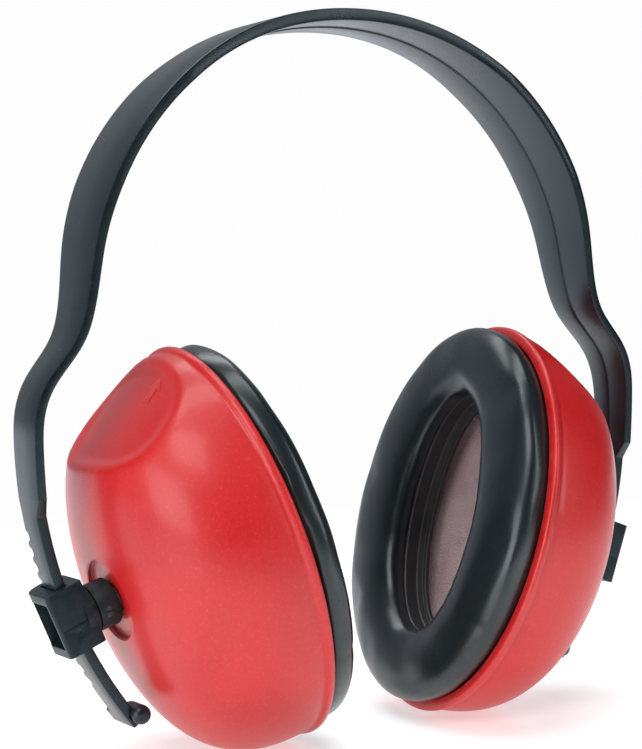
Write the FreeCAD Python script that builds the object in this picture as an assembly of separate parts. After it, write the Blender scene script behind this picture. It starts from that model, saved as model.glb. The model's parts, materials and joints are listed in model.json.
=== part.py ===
import FreeCAD, Part
import math
import os
from FreeCAD import Matrix, Vector

# Earmuff hearing protector. Millimetres, +Z up, X across the head, front towards -Y.
# The origin is midway between the cups, on the surface that they stand on.

# Driving dimensions: headband
arch_centre_z = 121.13
arch_points = [(0, 77.6), (26.7, 73.5), (50.8, 60.6), (69.1, 39.9), (78.3, 16.6), (81.0, 0.5),
               (83.6, -7), (88.0, -13), (92.6, -19.2), (95.1, -26), (95.7, -34)]
band_thickness_top = 3.8
band_thickness_side = 3.0
band_width_points = [(-48, 13.6), (-34, 15.2), (-10, 18.7), (32, 27.1), (60, 28.9), (79, 24.2)]

# Driving dimensions: the curved arm below each side of the band
arm_centre = (-26.7, -34.9)
arm_outer_radius = 122.6
arm_thickness = 3.0
arm_start_z = -48.0
arm_end_angle = 37.0
arm_front = -3.6
arm_rear = 6.2
shoulder_height = 4.6
notch_pitch = 4.3
notch_radius = 1.5
notch_depth = 1.1
first_notch_angle = 11.0
stop_radius = 2.6
stop_front = -6.4
stop_rear = 3.0
stop_tab_rear = 9.4

# Driving dimensions: slider on the arm
slider_angle = 21.6
slider_width = 10.6
slider_length = 17.6
slider_front = -5.7
slider_rear = 8.6
slider_bar = 2.4
slider_wall = 1.8
slider_clearance = 0.35

# Driving dimensions: cup and its pivot
cup_lean = 17.0
cup_centre = (36.2, -64.9)
cup_long = 55.4
cup_short = 42.1
cup_depth = 40.0
cup_wall = 2.4
dome_power_depth = 3.0
dome_power_radius = 2.4
dome_flat_share = 0.98
rim_bead = 0.9
rim_height = 2.2
spot_radius = 11.0
spot_level = 38.2
scoop_centre = (45.0, 20.5)
scoop_slope = 55.2
scoop_long = 34.0
scoop_wide = 51.0
scoop_corner = 9.0
scoop_sink = 0.9
scoop_floor_radius = 73.5
stub_radius = 6.45
stub_gap = 0.9
post_radius = 3.5
post_fit = 0.06
ball_level = 30.5
ball_radius = 5.0
ball_fit = 0.08
neck_radius = 2.6
throat_radius = 4.2
boss_radius = 9.4
boss_level = 26.0
retainer_radius = 6.5

# Driving dimensions: cushion and foam, the cushion lies on the head side of the rim
plate_thickness = 1.6
cushion_depth = 10.6
cushion_long = 53.4
cushion_short = 40.4
hole_long = 34.5
hole_short = 18.0
collar_level = 4.0
collar_wall = 1.6
skin_thickness = 0.8
liner_front = 3.0
liner_gap = 0.5
dish_depth = 9.0

THROUGH = 200.0
Y_AXIS = Vector(0, 1, 0)
Z_AXIS = Vector(0, 0, 1)


def world(x, z, y=0.0):
    """A point given from the arch centre."""
    return Vector(x, y, arch_centre_z + z)


def arm_point(radius, angle, y=0.0):
    turn = math.radians(angle)
    return world(arm_centre[0] + radius * math.cos(turn), arm_centre[1] - radius * math.sin(turn), y)


def mirrored_x(point):
    return Vector(-point.x, point.y, point.z)


def placed(shape, origin, x_axis, y_axis, z_axis):
    """Put a shape drawn in local axes at its place on the right-hand side."""
    matrix = Matrix(x_axis.x, y_axis.x, z_axis.x, origin.x,
                    x_axis.y, y_axis.y, z_axis.y, origin.y,
                    x_axis.z, y_axis.z, z_axis.z, origin.z,
                    0, 0, 0, 1)
    moved = shape.copy()
    moved.transformShape(matrix)
    return moved


def in_cup(shape):
    """Cup axes: X up along the oval, Z outwards along the pivot."""
    lean = math.radians(cup_lean)
    up = Vector(math.sin(lean), 0, math.cos(lean))
    out = Vector(math.cos(lean), 0, -math.sin(lean))
    return placed(shape, world(*cup_centre), up, out.cross(up), out)


def in_slider(shape):
    """Slider axes: X outwards across the arm, Z up along it."""
    turn = math.radians(slider_angle)
    out = Vector(math.cos(turn), 0, -math.sin(turn))
    up = Vector(math.sin(turn), 0, math.cos(turn))
    middle = arm_outer_radius - arm_thickness / 2
    return placed(shape, arm_point(middle, slider_angle), out, up.cross(out), up)


def spline(points):
    curve = Part.BSplineCurve()
    curve.interpolate(points)
    return curve


def band_outer_points():
    right = [world(x, z) for x, z in arch_points] + [arm_point(arm_outer_radius, arm_start_angle())]
    return [mirrored_x(point) for point in reversed(right[1:])] + right


def arm_start_angle():
    return math.degrees(math.asin((arm_centre[1] - arm_start_z) / arm_outer_radius))


def band_inner_points(outer):
    """Step in from the outer curve by a thickness that eases from the top to the sides."""
    stations = 32
    points = []
    for index in range(stations + 1):
        at = outer.FirstParameter + (outer.LastParameter - outer.FirstParameter) * index / stations
        point = outer.value(at)
        along = outer.tangent(at)[0]
        inwards = Vector(along.z, 0, -along.x)
        rise = max(0.0, (point.z - arch_centre_z) / arch_points[0][1])
        depth = band_thickness_side + (band_thickness_top - band_thickness_side) * rise
        points.append(point + inwards * depth)
    inner_radius = arm_outer_radius - arm_thickness
    points[-1] = arm_point(inner_radius, arm_start_angle())
    points[0] = mirrored_x(points[-1])
    return points


def arm_arcs(radius):
    start = arm_start_angle()
    middle = (start + arm_end_angle) / 2
    right = [arm_point(radius, angle) for angle in (start, middle, arm_end_angle)]
    left = [mirrored_x(point) for point in reversed(right)]
    return Part.Arc(*left), Part.Arc(*right)


def headband():
    outer = spline(band_outer_points())
    inner = spline(band_inner_points(outer))
    outer_left, outer_right = arm_arcs(arm_outer_radius)
    inner_left, inner_right = arm_arcs(arm_outer_radius - arm_thickness)
    tip_outer = arm_point(arm_outer_radius, arm_end_angle)
    tip_inner = arm_point(arm_outer_radius - arm_thickness, arm_end_angle)
    curves = [outer_left, outer, outer_right, Part.LineSegment(tip_outer, tip_inner),
              inner_right, inner, inner_left,
              Part.LineSegment(mirrored_x(tip_inner), mirrored_x(tip_outer))]
    edges = Part.sortEdges([curve.toShape() for curve in curves])[0]
    strip = Part.Face(Part.Wire(edges))
    strip.translate(Vector(0, -THROUGH / 2, 0))
    strip = strip.extrude(Vector(0, THROUGH, 0))
    band = strip.common(band_side_view())
    for side in (1, -1):
        for angle in notch_angles():
            band = band.cut(notch_cutter(side, angle))
        band = band.fuse(end_stop(side))
    return band.removeSplitter()


def band_side_view():
    """The band seen along X: wide over the head, tapering to the narrow arms."""
    front = [world(0, z, -width / 2) for z, width in band_width_points]
    rear = [world(0, z, width / 2) for z, width in reversed(band_width_points)]
    bottom = -THROUGH
    shoulder = arm_start_z - shoulder_height
    corners = [rear[-1], world(0, shoulder, arm_rear), world(0, bottom, arm_rear),
               world(0, bottom, arm_front), world(0, shoulder, arm_front), front[0]]
    edges = [spline(front).toShape(), Part.LineSegment(front[-1], rear[0]).toShape()]
    edges += [spline(rear).toShape()]
    edges += [Part.LineSegment(a, b).toShape() for a, b in zip(corners, corners[1:])]
    face = Part.Face(Part.Wire(Part.sortEdges(edges)[0]))
    face.translate(Vector(-THROUGH / 2, 0, 0))
    return face.extrude(Vector(THROUGH, 0, 0))


def notch_angles():
    step = math.degrees(notch_pitch / arm_outer_radius)
    count = int((arm_end_angle - 3 - first_notch_angle) / step)
    return [first_notch_angle + step * index for index in range(count)]


def notch_cutter(side, angle):
    """A round scoop in the outer rear edge of the arm, where the slider clicks."""
    base = arm_point(arm_outer_radius - notch_depth, angle, arm_rear + 0.3)
    outwards = arm_point(arm_outer_radius, angle) - arm_point(0, angle)
    if side < 0:
        base = mirrored_x(base)
        outwards = mirrored_x(outwards)
    return Part.makeCylinder(notch_radius, 2 * notch_depth, base, outwards)


def end_stop(side):
    """The rounded cross bar and flat tab at the tip, which keep the slider on the arm."""
    centre = arm_point(arm_outer_radius - arm_thickness - 0.4, arm_end_angle, stop_front)
    bar = Part.makeCylinder(stop_radius, stop_rear - stop_front, centre, Y_AXIS)
    bar = bar.makeFillet(1.2, [edge for edge in bar.Edges if edge.Closed])
    tab = Part.makeBox(arm_thickness, stop_tab_rear - arm_front, 4.4,
                       Vector(-arm_thickness / 2, arm_front, -2.2))
    tab.rotate(Vector(0, 0, 0), Y_AXIS, arm_end_angle)
    tab.translate(arm_point(arm_outer_radius - arm_thickness / 2, arm_end_angle))
    stop = bar.fuse(tab)
    return stop if side > 0 else stop.mirror(Vector(0, 0, 0), Vector(1, 0, 0))


def arm_channel():
    """The space that the arm sweeps through the slider, with its sliding clearance."""
    inner = arm_outer_radius - arm_thickness - slider_clearance
    outer = arm_outer_radius + slider_clearance
    centre = world(arm_centre[0], arm_centre[1], arm_front - slider_clearance)
    depth = arm_rear - arm_front + 2 * slider_clearance
    ring = Part.makeCylinder(outer, depth, centre, Y_AXIS)
    return ring.cut(Part.makeCylinder(inner, depth, centre, Y_AXIS))


def pivot_face_level():
    """How far out along the pivot the slider's round pad reaches towards the cup."""
    return spot_level + stub_gap + 6.3


def slider():
    half = slider_length / 2
    block = Part.makeBox(slider_width, slider_rear - slider_front, slider_length,
                         Vector(-slider_width / 2, slider_front, -half))
    upright = [edge for edge in block.Edges if abs(edge.Vertexes[0].Z - edge.Vertexes[1].Z) > 1]
    rear = [edge for edge in upright if edge.Vertexes[0].Y > 0]
    front = [edge for edge in upright if edge.Vertexes[0].Y < 0]
    block = block.makeFillet(3.6, rear)
    front = [edge for edge in block.Edges if edge.Length > slider_length - 0.1
             and abs(edge.CenterOfMass.y - slider_front) < 0.01]
    block = block.makeFillet(0.9, front)
    inner_face = (arm_thickness / 2) + slider_clearance
    window = Part.makeBox(slider_width, slider_rear - slider_front - 2 * slider_wall,
                          slider_length - 2 * slider_bar,
                          Vector(inner_face - 1.0, slider_front + slider_wall, -half + slider_bar))
    block = in_slider(block.cut(window))
    pad = Part.makeCylinder(stub_radius, slider_width, Vector(0, 0, pivot_face_level()), Z_AXIS)
    post_start = ball_level + ball_radius + 5.0
    post = Part.makeCylinder(post_radius, slider_width + 5, Vector(0, 0, post_start), Z_AXIS)
    post = post.cut(post_groove())
    reach = in_slider(Part.makeBox(THROUGH, THROUGH, THROUGH, Vector(-THROUGH, -THROUGH / 2, -THROUGH / 2)))
    pivot = in_cup(pad.fuse(post)).common(reach)
    return block.fuse(pivot).cut(arm_channel()).removeSplitter()


def groove_level():
    return pivot_face_level() - 2.6


def post_groove():
    ring = Part.makeCylinder(post_radius + 1, 1.7, Vector(0, 0, groove_level() - 0.85), Z_AXIS)
    return ring.cut(Part.makeCylinder(post_radius - 0.8, 1.7, Vector(0, 0, groove_level() - 0.85), Z_AXIS))


def pivot_stub():
    low = spot_level + stub_gap
    stub = Part.makeCylinder(stub_radius, pivot_face_level() - 0.3 - low, Vector(0, 0, low), Z_AXIS)
    stub = stub.makeChamfer(0.4, [edge for edge in stub.Edges if edge.Closed])
    bore = Part.makeCylinder(post_radius + post_fit, THROUGH, Vector(0, 0, low + 1.2), Z_AXIS)
    stub = stub.cut(bore).cut(Part.makeCylinder(neck_radius, THROUGH, Vector(0, 0, 0), Z_AXIS))
    return in_cup(stub.cut(lock_pin_body()))


def lock_pin_body():
    """A radial pin: its tip rides in the post's groove, its head stands just proud."""
    length = stub_radius + 0.5 - post_radius + 0.6
    return Part.makeCylinder(0.7, length, Vector(0, stub_radius + 0.5, groove_level()), Vector(0, -1, 0))


def lock_pin():
    return in_cup(lock_pin_body())


def ball_stud():
    low = Vector(0, 0, ball_level)
    ball = Part.makeSphere(ball_radius, low)
    length = spot_level + stub_gap + 1.2 - ball_level
    return in_cup(ball.fuse(Part.makeCylinder(neck_radius, length, low, Z_AXIS)))


def dome(long_half, short_half, depth, base=0.0):
    """A loft through ovals that shrink as a superellipse does, with a flat oval on top."""
    rings = []
    for share in (0, 0.3, 0.52, 0.7, 0.84, 0.93, dome_flat_share):
        scale = (1 - share ** dome_power_depth) ** (1 / dome_power_radius)
        ring = Part.Ellipse(Vector(0, 0, base + depth * share), long_half * scale, short_half * scale)
        rings.append(Part.Wire(ring.toShape()))
    return Part.makeLoft(rings, True)


def oval(long_half, short_half, low, high):
    ellipse = Part.Ellipse(Vector(0, 0, low), long_half, short_half)
    return Part.Face(Part.Wire(ellipse.toShape())).extrude(Vector(0, 0, high - low))


def disc(radius, low, high):
    """A round slug along the pivot axis."""
    return Part.makeCylinder(radius, high - low, Vector(0, 0, low), Z_AXIS)


def scoop(grow=0.0):
    """What the thumb scoop takes from the upper outer shoulder, grown by a wall for the inner surfaces."""
    long_half = scoop_long / 2 + grow
    wide_half = scoop_wide / 2 + grow
    floor = -scoop_sink - grow
    slab = Part.makeBox(2 * long_half, 2 * wide_half, 40, Vector(-long_half, -wide_half, -20))
    corners = [edge for edge in slab.Edges if abs(edge.Vertexes[0].Z - edge.Vertexes[1].Z) > 1]
    slab = slab.makeFillet(scoop_corner, corners)
    radius = scoop_floor_radius - grow
    crown = Vector(-THROUGH / 2, 0, floor - radius)
    slab = slab.cut(Part.makeCylinder(radius, THROUGH, crown, Vector(1, 0, 0)))
    slope = math.radians(scoop_slope)
    along = Vector(math.cos(slope), 0, -math.sin(slope))
    normal = Vector(math.sin(slope), 0, math.cos(slope))
    return placed(slab, Vector(scoop_centre[0], 0, scoop_centre[1]), along, Y_AXIS, normal)


def cup_shell():
    rim = oval(cup_long + rim_bead, cup_short + rim_bead, 0, rim_height)
    outer = dome(cup_long, cup_short, cup_depth).cut(scoop()).fuse(rim)
    inner = dome(cup_long - cup_wall, cup_short - cup_wall, cup_depth - cup_wall)
    shell = outer.cut(inner.cut(scoop(cup_wall)))
    shell = shell.fuse(disc(boss_radius, boss_level, cup_depth - cup_wall + 0.4))
    shell = shell.cut(disc(spot_radius, spot_level, THROUGH))
    shell = shell.cut(disc(throat_radius, ball_level, THROUGH))
    shell = shell.cut(Part.makeSphere(ball_radius + ball_fit, Vector(0, 0, ball_level)))
    shell = shell.cut(disc(retainer_radius, boss_level - 1, ball_level))
    return in_cup(shell)


def ball_retainer():
    plug = disc(retainer_radius - 0.05, boss_level - 0.8, ball_level - 0.2)
    flange = disc(boss_radius, boss_level - 2.2, boss_level - 0.8)
    seat = Part.makeSphere(ball_radius + ball_fit, Vector(0, 0, ball_level))
    return in_cup(plug.fuse(flange).cut(seat).removeSplitter())


def pivot_seal():
    seal = disc(boss_radius - 0.1, boss_level - 0.8, boss_level)
    return in_cup(seal.cut(disc(retainer_radius, boss_level - 0.8, boss_level)))


def foam_liner():
    inset = cup_wall + liner_gap
    body = dome(cup_long - inset, cup_short - inset, cup_depth - inset).cut(scoop(inset))
    body = body.cut(oval(THROUGH, THROUGH / 2, -1, liner_front))
    body = body.cut(disc(boss_radius + 1, boss_level - 3.0, THROUGH))
    return in_cup(body.cut(dome(cup_long - 15, cup_short - 13, dish_depth, liner_front)))


def cushion_plate():
    """An oval ring with a skirt that clips inside the rim and a collar that lines the hole."""
    ring = oval(cushion_long - 0.6, cushion_short - 0.6, -plate_thickness, 0)
    skirt_long = cup_long - cup_wall - 0.9
    skirt_short = cup_short - cup_wall - 0.9
    skirt = oval(skirt_long, skirt_short, 0, liner_front - 0.6)
    skirt = skirt.cut(oval(skirt_long - 1.8, skirt_short - 1.8, 0, liner_front - 0.6))
    inner_long = hole_long - collar_wall / 2
    inner_short = hole_short - collar_wall / 2
    collar = oval(inner_long + collar_wall, inner_short + collar_wall, -plate_thickness, collar_level)
    ring = ring.fuse([skirt, collar])
    ring = ring.cut(oval(inner_long, inner_short, -plate_thickness, collar_level))
    return in_cup(ring.removeSplitter())


def cushion_ring(inset):
    low = -cushion_depth + inset
    ring = oval(cushion_long - inset, cushion_short - inset, low, -plate_thickness)
    ring = ring.cut(oval(hole_long + inset, hole_short + inset, low, -plate_thickness))
    seal_edges = [edge for edge in ring.Edges if abs(edge.CenterOfMass.z - low) < 0.01 and edge.Closed]
    return ring.makeFillet(5.5 - inset, seal_edges)


def cushion_foam():
    return in_cup(cushion_ring(skin_thickness))


def cushion_skin():
    return in_cup(cushion_ring(0).cut(cushion_ring(skin_thickness)))


side_pieces = {
    "slider": slider,
    "pivot_stub": pivot_stub,
    "lock_pin": lock_pin,
    "ball_stud": ball_stud,
    "cup_shell": cup_shell,
    "ball_retainer": ball_retainer,
    "pivot_seal": pivot_seal,
    "foam_liner": foam_liner,
    "cushion_plate": cushion_plate,
    "cushion_foam": cushion_foam,
    "cushion_skin": cushion_skin,
}

os.makedirs("parts", exist_ok=True)
headband().exportStep("parts/headband.step")
for name, make in side_pieces.items():
    piece = make()
    piece.exportStep("parts/" + name + "_right.step")
    piece.mirror(Vector(0, 0, 0), Vector(1, 0, 0)).exportStep("parts/" + name + "_left.step")
    print(name, len(piece.Solids), piece.isValid(), round(piece.Volume, 1))
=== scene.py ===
import bpy
import bmesh
import itertools
import json
import numpy as np
from math import acos, asin, copysign, cos, degrees, hypot, pi, radians, sin, sqrt
from mathutils import Matrix, Vector, noise


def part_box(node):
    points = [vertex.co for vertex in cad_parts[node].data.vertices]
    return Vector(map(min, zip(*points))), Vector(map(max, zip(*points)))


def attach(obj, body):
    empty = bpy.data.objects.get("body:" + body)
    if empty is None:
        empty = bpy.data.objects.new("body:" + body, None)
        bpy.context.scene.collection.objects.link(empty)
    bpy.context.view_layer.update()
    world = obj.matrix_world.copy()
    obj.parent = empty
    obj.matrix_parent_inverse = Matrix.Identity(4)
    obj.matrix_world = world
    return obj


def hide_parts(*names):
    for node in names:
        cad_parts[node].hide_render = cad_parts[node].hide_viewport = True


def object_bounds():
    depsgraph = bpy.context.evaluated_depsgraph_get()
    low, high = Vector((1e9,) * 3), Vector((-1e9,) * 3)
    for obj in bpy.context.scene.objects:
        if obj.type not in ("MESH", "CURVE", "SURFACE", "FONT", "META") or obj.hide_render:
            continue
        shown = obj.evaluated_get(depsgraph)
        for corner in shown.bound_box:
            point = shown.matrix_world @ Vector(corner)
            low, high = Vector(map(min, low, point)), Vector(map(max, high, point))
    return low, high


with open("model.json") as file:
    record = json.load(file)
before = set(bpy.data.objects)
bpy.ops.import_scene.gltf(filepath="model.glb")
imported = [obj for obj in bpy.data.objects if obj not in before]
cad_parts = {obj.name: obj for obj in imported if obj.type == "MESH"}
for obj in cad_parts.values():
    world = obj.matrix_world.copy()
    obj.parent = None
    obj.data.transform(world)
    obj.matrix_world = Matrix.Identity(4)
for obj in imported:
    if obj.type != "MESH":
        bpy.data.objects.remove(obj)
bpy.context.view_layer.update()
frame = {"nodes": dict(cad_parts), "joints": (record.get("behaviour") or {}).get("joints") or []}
mm = 0.001
joints = {joint["name"]: joint for joint in frame["joints"]}
sides = ("right", "left")
across = Vector((0, 1, 0))
print("stage: frame loaded")


# Helpers that build meshes

def addObject(name, data):
    obj = bpy.data.objects.new(name, data)
    bpy.context.scene.collection.objects.link(obj)
    return obj


def makeMesh(name, points, faces, sharpAngle=32):
    data = bpy.data.meshes.new(name)
    data.from_pydata([tuple(point) for point in points], [], faces)
    obj = addObject(name, data)
    tidyMesh(obj, sharpAngle)
    return obj


def tidyMesh(obj, sharpAngle):
    # outward normals, smooth shading with sharp edges kept where faces meet at more than sharpAngle
    work = bmesh.new()
    work.from_mesh(obj.data)
    bmesh.ops.recalc_face_normals(work, faces=work.faces)
    for face in work.faces:
        face.smooth = True
    for edge in work.edges:
        turn = edge.calc_face_angle(0) if len(edge.link_faces) == 2 else 0
        edge.smooth = turn < radians(sharpAngle)
    work.to_mesh(obj.data)
    work.free()


def ringFaces(ringCount, pointCount, closed=False, capped=False):
    # quads between loops of points that follow each other
    # closed makes the last loop meet the first, capped fills the first and the last one
    faces = []
    for ring in range(ringCount if closed else ringCount - 1):
        following = (ring + 1) % ringCount
        for index in range(pointCount):
            after = (index + 1) % pointCount
            faces.append((ring * pointCount + index, ring * pointCount + after,
                          following * pointCount + after, following * pointCount + index))
    if capped:
        faces.append(tuple(range(pointCount)))
        faces.append(tuple(reversed(range((ringCount - 1) * pointCount, ringCount * pointCount))))
    return faces


def circle(count):
    # (cosine, sine) at equal turns, once round
    turns = [2 * pi * index / count for index in range(count)]
    return [(cos(turn), sin(turn)) for turn in turns]


def fitted(obj, body, slot, *nodes):
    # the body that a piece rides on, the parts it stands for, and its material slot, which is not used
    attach(obj, body)
    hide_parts(*nodes)
    return obj


def joinInto(target, *others):
    bpy.ops.object.select_all(action="DESELECT")
    for other in (target, *others):
        other.select_set(True)
    bpy.context.view_layer.objects.active = target
    bpy.ops.object.join()
    return target


def bakeModifiers(obj):
    depsgraph = bpy.context.evaluated_depsgraph_get()
    data = bpy.data.meshes.new_from_object(obj.evaluated_get(depsgraph))
    obj.modifiers.clear()
    obj.data = data


def cutAway(obj, *cutters):
    for cutter in cutters:
        cut = obj.modifiers.new("cut", "BOOLEAN")
        cut.object = cutter
        cut.operation = "DIFFERENCE"
        cut.solver = "EXACT"
        bakeModifiers(obj)
        bpy.data.objects.remove(cutter)


def softenEdges(obj, width, segments, angle):
    bevel = obj.modifiers.new("soften", "BEVEL")
    bevel.width = width
    bevel.segments = segments
    bevel.limit_method = "ANGLE"
    bevel.angle_limit = radians(angle)
    bevel.use_clamp_overlap = True


def turned(name, profile, place, count=72, sharpAngle=32):
    # a closed profile of (radius, level) turned about the pivot axis
    points = [place(radius * cosine, radius * sine, level)
              for radius, level in profile for cosine, sine in circle(count)]
    return makeMesh(name, points, ringFaces(len(profile), count, closed=True), sharpAngle)


def smoothStep(value, low, high):
    share = min(1.0, max(0.0, (value - low) / (high - low)))
    return share * share * (3 - 2 * share)


def smoothCurve(points, count):
    # natural cubic spline through the points, sampled evenly along its chord length
    points = np.array(points, float)
    chords = np.concatenate([[0], np.cumsum(np.linalg.norm(np.diff(points, axis=0), axis=1))])
    gaps = np.diff(chords)
    size = len(points)
    matrix = np.eye(size)
    right = np.zeros((size, 2))
    for row in range(1, size - 1):
        matrix[row, row - 1] = gaps[row - 1]
        matrix[row, row] = 2 * (gaps[row - 1] + gaps[row])
        matrix[row, row + 1] = gaps[row]
        ahead = (points[row + 1] - points[row]) / gaps[row]
        right[row] = 6 * (ahead - (points[row] - points[row - 1]) / gaps[row - 1])
    bends = np.linalg.solve(matrix, right)
    places = np.linspace(0, chords[-1], count)
    spans = np.clip(np.searchsorted(chords, places) - 1, 0, size - 2)
    gap = gaps[spans][:, None]
    before = (chords[spans + 1] - places)[:, None]
    beyond = (places - chords[spans])[:, None]
    return (bends[spans] * before ** 3 + bends[spans + 1] * beyond ** 3) / (6 * gap) \
        + (points[spans] / gap - bends[spans] * gap / 6) * before \
        + (points[spans + 1] / gap - bends[spans + 1] * gap / 6) * beyond


# Places, worked out from the frame's joints and boxes

pivot = {
    "ballLevel": 30.5, "spotLevel": 38.2, "stubLow": 39.1, "stubHigh": 45.1, "padLevel": 45.4,
    "padRadius": 6.45, "padHeight": 3.4, "neckHole": 2.6, "postHole": 3.56, "postRadius": 3.5,
    "postLow": 40.5, "grooveRadius": 2.95, "grooveHalf": 0.85, "pinDrop": 2.7, "pinRadius": 0.7,
    "pinLength": 3.4, "pinHead": (1.3, 1.0, 2.0), "pinHeadShift": 1.6,
}
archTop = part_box("headband")[1].z
archRadiusTop = 77.6 * mm
archCentre = Vector((0, 0, archTop - archRadiusTop))


def cupPlace(side):
    # returns place(up, across, out) in millimetres from the middle of the cup's rim
    out = Vector(joints["swivel_" + side]["axis"]).normalized()
    ball = Vector(joints["tilt_" + side]["pos_m"])
    up = out.cross(across)
    if up.z < 0:
        up.negate()
    origin = ball - out * pivot["ballLevel"] * mm

    def place(upward, sideways, outward):
        return origin + (up * upward + across * sideways + out * outward) * mm
    return place


def armPlace(side):
    # returns place(radius, angle, across) in millimetres and degrees about the arm's centre
    centre = Vector(joints["height_" + side]["pos_m"])
    sign = 1 if side == "right" else -1

    def place(radius, angle, sideways):
        turn = radians(angle)
        return centre + Vector((sign * radius * cos(turn), sideways, -radius * sin(turn))) * mm
    return place


# Headband

band = {
    "archPoints": [(0, 77.6), (26.7, 73.5), (50.8, 60.6), (69.1, 39.9), (78.3, 16.6), (81.0, 0.5),
                   (83.6, -7), (88.0, -13), (92.6, -19.2), (95.1, -26), (95.7, -34)],
    "topThickness": 3.8, "sideThickness": 3.0,
    "widths": [(-52.6, 13.4), (-48, 13.6), (-34, 15.2), (-10, 18.7), (32, 27.1), (60, 28.9),
               (79, 24.2)],
    "armStartZ": -48.0, "armEndAngle": 37.0, "armRadius": 122.6,
    "armFront": -3.6, "armRear": 6.2, "shoulder": 4.6,
    "rearRound": 2.1, "frontRound": 0.45, "armRound": 0.5, "ridgeStep": 0.42,
    "notchPitch": 4.3, "firstNotchAngle": 11.0, "notchHalf": 1.45, "notchReach": 1.5,
    "notchDepth": 1.15,
    "stopRadius": 2.6, "stopFront": -6.4, "stopRear": 3.0, "stopStraight": 0.72,
    "stopTabRear": 9.4, "stopTabLength": 4.4, "archCount": 321, "armCount": 190,
}


def bandSection(outer, inward, thickness, front, rear, rearRound, notch, ridge):
    # one closed loop of the band's cross-section, as (depth, sideways) pairs from the outer face
    edge = band["frontRound"]
    reach = band["notchReach"] * notch
    loop = [(edge, front), (edge * 0.3, front + edge * 0.3), (0, front + edge),
            (0, (front + rear) / 2), (0, rear - rearRound - reach)]
    steps = 5
    for step in range(1, steps + 1):
        turn = pi / 2 * step / steps
        curved = (rearRound * (1 - cos(turn)), rear - rearRound * (1 - sin(turn)))
        share = step / steps
        flat = ((band["notchDepth"] * 1.25 + rearRound) * share,
                rear - (rearRound + reach) * (1 - share))
        loop.append(tuple(a * (1 - notch) + b * notch for a, b in zip(curved, flat)))
    middle = (front + rear) / 2 + 0.06 * (rear - front)
    loop += [(thickness - 0.6, rear), (thickness - 0.15, rear - 0.15), (thickness, rear - 0.6),
             (thickness, middle + 0.3), (thickness - 0.08, middle), (thickness - ridge, middle - 0.3),
             (thickness - ridge, front + 0.6), (thickness - ridge - 0.15, front + 0.15),
             (thickness - ridge - 0.6, front)]
    return [outer + inward * depth * mm + across * sideways * mm for depth, sideways in loop]


def bandStations():
    # (outer point, inward way, thickness, front, rear, rear rounding, notch, ridge), tip to tip
    place = armPlace("right")
    centre = Vector(joints["height_right"]["pos_m"])
    radius = band["armRadius"]
    startAngle = degrees(asin((centre.z - archCentre.z - band["armStartZ"] * mm) / (radius * mm)))
    start = place(radius, startAngle, 0) - archCentre
    right = [*band["archPoints"], (start.x / mm, start.z / mm)]
    line = smoothCurve([(-x, z) for x, z in reversed(right[1:])] + right, band["archCount"])
    stations = []
    levels, widths = zip(*band["widths"])
    for index, (x, z) in enumerate(line):
        ahead = line[min(index + 1, len(line) - 1)] - line[max(index - 1, 0)]
        inward = Vector((ahead[1], 0, -ahead[0])).normalized()
        rise = max(0.0, z / band["archPoints"][0][1])
        thickness = band["sideThickness"] + (band["topThickness"] - band["sideThickness"]) * rise
        half = np.interp(z, levels, widths) / 2
        low = smoothStep(z, -44, -20)
        rounding = band["armRound"] + (band["rearRound"] - band["armRound"]) * low
        stations.append((archCentre + Vector((x, 0, z)) * mm, inward, thickness, -half, half,
                         rounding, 0.0, band["ridgeStep"]))
    arm = []
    count = band["armCount"]
    pitch = degrees(band["notchPitch"] / radius)
    notches = int((band["armEndAngle"] - 3 - band["firstNotchAngle"]) / pitch)
    halfWide = np.interp(band["armStartZ"], levels, widths) / 2
    for index in range(1, count + 1):
        angle = startAngle + (band["armEndAngle"] - startAngle) * index / count
        outer = place(radius, angle, 0)
        drop = (band["armStartZ"] - (outer.z - archCentre.z) / mm) / band["shoulder"]
        share = min(1.0, max(0.0, drop))
        front = -halfWide + (band["armFront"] + halfWide) * share
        rear = halfWide + (band["armRear"] - halfWide) * share
        nearest = round((angle - band["firstNotchAngle"]) / pitch)
        away = radians(angle - band["firstNotchAngle"] - nearest * pitch)
        away *= radius / band["notchHalf"]
        inside = 0 <= nearest < notches and abs(away) < 1
        notch = sqrt(1 - away * away) if inside else 0.0
        inward = (centre - outer).normalized()
        arm.append((outer, inward, band["sideThickness"], front, rear, band["armRound"], notch,
                    band["ridgeStep"] * (1 - share)))
    mirrored = [(Vector((-outer.x, 0, outer.z)), Vector((-inward.x, 0, inward.z)), *rest)
                for outer, inward, *rest in reversed(arm)]
    return mirrored + stations + arm


def roundedBlock(name, size, place, rounding):
    # a block with rounded edges, place maps its own millimetres into the frame
    work = bmesh.new()
    bmesh.ops.create_cube(work, size=1)
    for vertex in work.verts:
        vertex.co = Vector([vertex.co[axis] * size[axis] for axis in range(3)])
    bmesh.ops.bevel(work, geom=work.edges, offset=rounding, segments=4, profile=0.5, affect="EDGES")
    for vertex in work.verts:
        vertex.co = place(*vertex.co)
    data = bpy.data.meshes.new(name)
    work.to_mesh(data)
    work.free()
    obj = addObject(name, data)
    tidyMesh(obj, 50)
    return obj


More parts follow.
